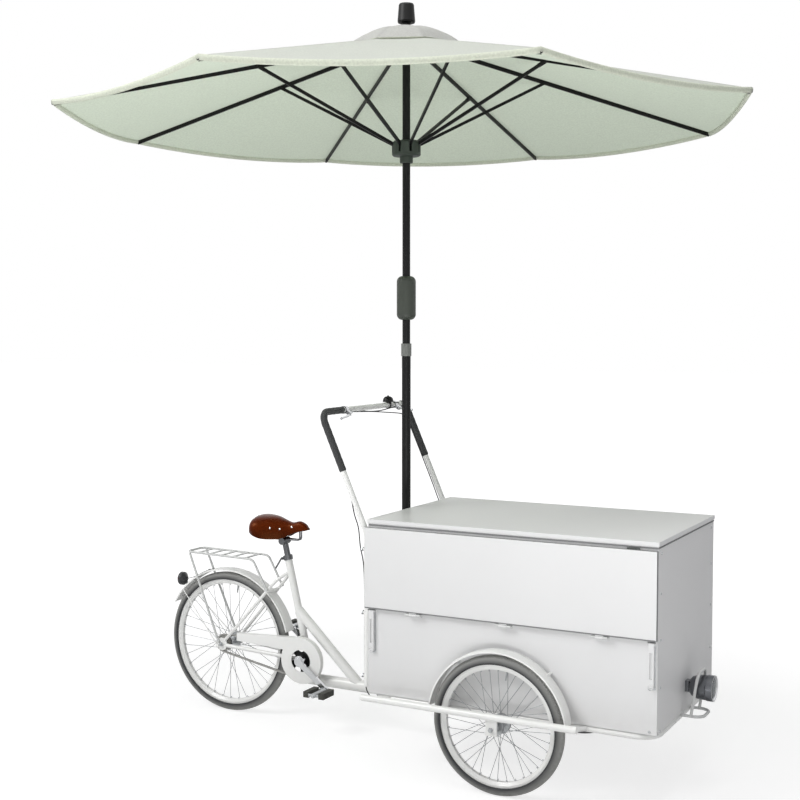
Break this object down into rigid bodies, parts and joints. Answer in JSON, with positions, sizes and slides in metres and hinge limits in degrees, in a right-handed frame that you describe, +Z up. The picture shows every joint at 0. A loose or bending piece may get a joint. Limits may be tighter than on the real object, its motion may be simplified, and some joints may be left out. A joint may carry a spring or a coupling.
{
  "type": "bicycle food cart",
  "caption": "Front-loading cargo tricycle for serving food: lidded box with a fold-down side flap between two front wheels, push bar, pedalled rear frame and an eight-rib parasol on a mast.",
  "frame": {"origin": "on the ground under the axis of the parasol mast", "axes": "+X to the front of the cart, +Y to its left side, +Z up"},
  "size_m": [2.714, 2.714, 2.9379],
  "materials": {
    "white_paint": "gloss white enamel",
    "box_sheet": "satin white powder coat",
    "frame_alu": "satin",
    "zinc_steel": "zinc plated",
    "chrome": "polished",
    "tyre": "matte black rubber",
    "rim_white": "gloss white enamel",
    "black_paint": "satin black powder coat",
    "grip_foam": "dark grey foam",
    "mast_knob": "mid grey moulded",
    "runner": "dark green grey moulded",
    "canopy": "pale woven polyester",
    "leather": "brown, satin",
    "lamp_shell": "dark grey",
    "lamp_glass": "dark clear",
    "cable": "black sheath",
    "pedal_rubber": "matte black",
    "drive_steel": "oiled steel"
  },
  "bodies": {
    "cart": {"chassis": "white_paint", "front_axles": "zinc_steel", "box_frame": "frame_alu", "box_panels": "box_sheet", "front_fenders": "white_paint", "box_fittings": "zinc_steel", "headlamp": "lamp_shell", "headlamp_lens": "lamp_glass", "headlamp_guard": "white_paint", "push_bar": "white_paint", "grips": "grip_foam", "bar_fittings": "chrome", "brake_cables": "cable", "mast_lower": "black_paint"},
    "lid": {"lid": "box_sheet"},
    "flap": {"side_flap": "box_sheet"},
    "arm_rear": {"flap_arm_rear": "zinc_steel"},
    "arm_front": {"flap_arm_front": "zinc_steel"},
    "lever_right": {"brake_lever_right": "chrome"},
    "lever_left": {"brake_lever_left": "chrome"},
    "mast": {"mast_upper": "black_paint", "mast_grip": "mast_knob", "crown": "black_paint", "canopy": "canopy"},
    "runner": {"runner": "runner"},
    "rib_1": {"rib_1": "black_paint"},
    "rib_2": {"rib_2": "black_paint"},
    "rib_3": {"rib_3": "black_paint"},
    "rib_4": {"rib_4": "black_paint"},
    "rib_5": {"rib_5": "black_paint"},
    "rib_6": {"rib_6": "black_paint"},
    "rib_7": {"rib_7": "black_paint"},
    "rib_8": {"rib_8": "black_paint"},
    "stretcher_1": {"stretcher_1": "black_paint"},
    "stretcher_2": {"stretcher_2": "black_paint"},
    "stretcher_3": {"stretcher_3": "black_paint"},
    "stretcher_4": {"stretcher_4": "black_paint"},
    "stretcher_5": {"stretcher_5": "black_paint"},
    "stretcher_6": {"stretcher_6": "black_paint"},
    "stretcher_7": {"stretcher_7": "black_paint"},
    "stretcher_8": {"stretcher_8": "black_paint"},
    "wheel_front_right": {"front_tyre_right": "tyre", "front_wheel_right": "rim_white"},
    "wheel_front_left": {"front_tyre_left": "tyre", "front_wheel_left": "rim_white"},
    "bike": {"rear_frame": "white_paint", "rear_axle": "zinc_steel", "chain_case": "white_paint", "rear_fender": "white_paint", "rear_rack": "white_paint", "tail_lamp": "lamp_shell", "chain": "drive_steel"},
    "seat": {"seat_post": "chrome", "saddle": "leather"},
    "wheel_rear": {"rear_tyre": "tyre", "rear_wheel": "rim_white"},
    "freewheel": {"sprocket": "drive_steel"},
    "crank": {"crankset": "chrome"},
    "pedal_right": {"pedal_right": "pedal_rubber"},
    "pedal_left": {"pedal_left": "pedal_rubber"}
  },
  "joints": [
    {"name": "steering", "type": "hinge", "parent": "cart", "child": "bike", "pos_m": [0.5, 0, 0.224], "axis": [0, 0, 1], "range_deg": [-35, 35]},
    {"name": "lid_hinge", "type": "hinge", "parent": "cart", "child": "lid", "pos_m": [0.5875, 0.3643, 0.933], "axis": [-1, 0, 0], "range_deg": [0, 100]},
    {"name": "flap_hinge", "type": "hinge", "parent": "cart", "child": "flap", "pos_m": [0.5875, -0.377, 0.606], "axis": [1, 0, 0], "range_deg": [0, 90]},
    {"name": "arm_rear_hinge", "type": "hinge", "parent": "cart", "child": "arm_rear", "pos_m": [0.045, -0.364, 0.601], "axis": [-1, 0, 0], "range_deg": [0, 90]},
    {"name": "arm_front_hinge", "type": "hinge", "parent": "cart", "child": "arm_front", "pos_m": [1.13, -0.364, 0.601], "axis": [-1, 0, 0], "range_deg": [0, 90]},
    {"name": "front_wheel_right", "type": "hinge", "parent": "cart", "child": "wheel_front_right", "pos_m": [0.584, -0.404, 0.253], "axis": [0, 1, 0], "continuous": true},
    {"name": "front_wheel_left", "type": "hinge", "parent": "cart", "child": "wheel_front_left", "pos_m": [0.584, 0.404, 0.253], "axis": [0, 1, 0], "continuous": true},
    {"name": "brake_right", "type": "hinge", "parent": "cart", "child": "lever_right", "pos_m": [-0.16462, -0.168, 1.3295], "axis": [-0.5, 0, -0.866], "range_deg": [0, 14], "stiffness_Nm_per_rad": 1},
    {"name": "brake_left", "type": "hinge", "parent": "cart", "child": "lever_left", "pos_m": [-0.16462, 0.242, 1.3295], "axis": [0.5, 0, 0.866], "range_deg": [0, 14], "stiffness_Nm_per_rad": 1},
    {"name": "mast_height", "type": "slide", "parent": "cart", "child": "mast", "axis": [0, 0, 1], "range_m": [-0.09, 0.3]},
    {"name": "parasol_fold", "type": "slide", "parent": "mast", "child": "runner", "axis": [0, 0, 1], "range_m": [-0.443, 0], "deforming": ["canopy"]},
    {"name": "rib_1_hinge", "type": "hinge", "parent": "mast", "child": "rib_1", "pos_m": [0.038, 0, 2.792], "axis": [0, 1, 0], "range_deg": [0, 30]},
    {"name": "stretcher_1_hinge", "type": "hinge", "parent": "rib_1", "child": "stretcher_1", "pos_m": [0.59102, 0, 2.66243], "axis": [0, 1, 0], "range_deg": [-51, 0]},
    {"name": "rib_2_hinge", "type": "hinge", "parent": "mast", "child": "rib_2", "pos_m": [0.02687, 0.02687, 2.792], "axis": [-0.7071, 0.7071, 0], "range_deg": [0, 30]},
    {"name": "stretcher_2_hinge", "type": "hinge", "parent": "rib_2", "child": "stretcher_2", "pos_m": [0.41792, 0.41792, 2.66243], "axis": [-0.7071, 0.7071, 0], "range_deg": [-51, 0]},
    {"name": "rib_3_hinge", "type": "hinge", "parent": "mast", "child": "rib_3", "pos_m": [0, 0.038, 2.792], "axis": [-1, 0, 0], "range_deg": [0, 30]},
    {"name": "stretcher_3_hinge", "type": "hinge", "parent": "rib_3", "child": "stretcher_3", "pos_m": [0, 0.59102, 2.66243], "axis": [-1, 0, 0], "range_deg": [-51, 0]},
    {"name": "rib_4_hinge", "type": "hinge", "parent": "mast", "child": "rib_4", "pos_m": [-0.02687, 0.02687, 2.792], "axis": [-0.7071, -0.7071, 0], "range_deg": [0, 30]},
    {"name": "stretcher_4_hinge", "type": "hinge", "parent": "rib_4", "child": "stretcher_4", "pos_m": [-0.41792, 0.41792, 2.66243], "axis": [-0.7071, -0.7071, 0], "range_deg": [-51, 0]},
    {"name": "rib_5_hinge", "type": "hinge", "parent": "mast", "child": "rib_5", "pos_m": [-0.038, 0, 2.792], "axis": [0, -1, 0], "range_deg": [0, 30]},
    {"name": "stretcher_5_hinge", "type": "hinge", "parent": "rib_5", "child": "stretcher_5", "pos_m": [-0.59102, 0, 2.66243], "axis": [0, -1, 0], "range_deg": [-51, 0]},
    {"name": "rib_6_hinge", "type": "hinge", "parent": "mast", "child": "rib_6", "pos_m": [-0.02687, -0.02687, 2.792], "axis": [0.7071, -0.7071, 0], "range_deg": [0, 30]},
    {"name": "stretcher_6_hinge", "type": "hinge", "parent": "rib_6", "child": "stretcher_6", "pos_m": [-0.41792, -0.41792, 2.66243], "axis": [0.7071, -0.7071, 0], "range_deg": [-51, 0]},
    {"name": "rib_7_hinge", "type": "hinge", "parent": "mast", "child": "rib_7", "pos_m": [0, -0.038, 2.792], "axis": [1, 0, 0], "range_deg": [0, 30]},
    {"name": "stretcher_7_hinge", "type": "hinge", "parent": "rib_7", "child": "stretcher_7", "pos_m": [0, -0.59102, 2.66243], "axis": [1, 0, 0], "range_deg": [-51, 0]},
    {"name": "rib_8_hinge", "type": "hinge", "parent": "mast", "child": "rib_8", "pos_m": [0.02687, -0.02687, 2.792], "axis": [0.7071, 0.7071, 0], "range_deg": [0, 30]},
    {"name": "stretcher_8_hinge", "type": "hinge", "parent": "rib_8", "child": "stretcher_8", "pos_m": [0.41792, -0.41792, 2.66243], "axis": [0.7071, 0.7071, 0], "range_deg": [-51, 0]},
    {"name": "rear_wheel", "type": "hinge", "parent": "bike", "child": "wheel_rear", "pos_m": [-0.866, 0, 0.3035], "axis": [0, 1, 0], "continuous": true},
    {"name": "crank_axle", "type": "hinge", "parent": "bike", "child": "crank", "pos_m": [-0.466, 0, 0.277], "axis": [0, 1, 0], "continuous": true, "deforming": ["chain"]},
    {"name": "freewheel_spin", "type": "hinge", "parent": "bike", "child": "freewheel", "pos_m": [-0.866, 0, 0.3035], "axis": [0, 1, 0], "continuous": true},
    {"name": "pedal_right_spin", "type": "hinge", "parent": "crank", "child": "pedal_right", "pos_m": [-0.33598, -0.13, 0.17542], "axis": [0, 1, 0], "continuous": true},
    {"name": "pedal_left_spin", "type": "hinge", "parent": "crank", "child": "pedal_left", "pos_m": [-0.59602, 0.13, 0.37858], "axis": [0, 1, 0], "continuous": true},
    {"name": "seat_height", "type": "slide", "parent": "bike", "child": "seat", "axis": [-0.2317, 0, 0.9728], "range_m": [-0.03, 0.06]}
  ],
  "couplings": [
    {"joint": "rib_1_hinge", "follows": "parasol_fold", "rad_per_m": -1.1689},
    {"joint": "stretcher_1_hinge", "follows": "parasol_fold", "rad_per_m": 1.9859},
    {"joint": "rib_2_hinge", "follows": "parasol_fold", "rad_per_m": -1.1689},
    {"joint": "stretcher_2_hinge", "follows": "parasol_fold", "rad_per_m": 1.9859},
    {"joint": "rib_3_hinge", "follows": "parasol_fold", "rad_per_m": -1.1689},
    {"joint": "stretcher_3_hinge", "follows": "parasol_fold", "rad_per_m": 1.9859},
    {"joint": "rib_4_hinge", "follows": "parasol_fold", "rad_per_m": -1.1689},
    {"joint": "stretcher_4_hinge", "follows": "parasol_fold", "rad_per_m": 1.9859},
    {"joint": "rib_5_hinge", "follows": "parasol_fold", "rad_per_m": -1.1689},
    {"joint": "stretcher_5_hinge", "follows": "parasol_fold", "rad_per_m": 1.9859},
    {"joint": "rib_6_hinge", "follows": "parasol_fold", "rad_per_m": -1.1689},
    {"joint": "stretcher_6_hinge", "follows": "parasol_fold", "rad_per_m": 1.9859},
    {"joint": "rib_7_hinge", "follows": "parasol_fold", "rad_per_m": -1.1689},
    {"joint": "stretcher_7_hinge", "follows": "parasol_fold", "rad_per_m": 1.9859},
    {"joint": "rib_8_hinge", "follows": "parasol_fold", "rad_per_m": -1.1689},
    {"joint": "stretcher_8_hinge", "follows": "parasol_fold", "rad_per_m": 1.9859},
    {"joint": "freewheel_spin", "follows": "crank_axle", "ratio": 2.2222}
  ]
}
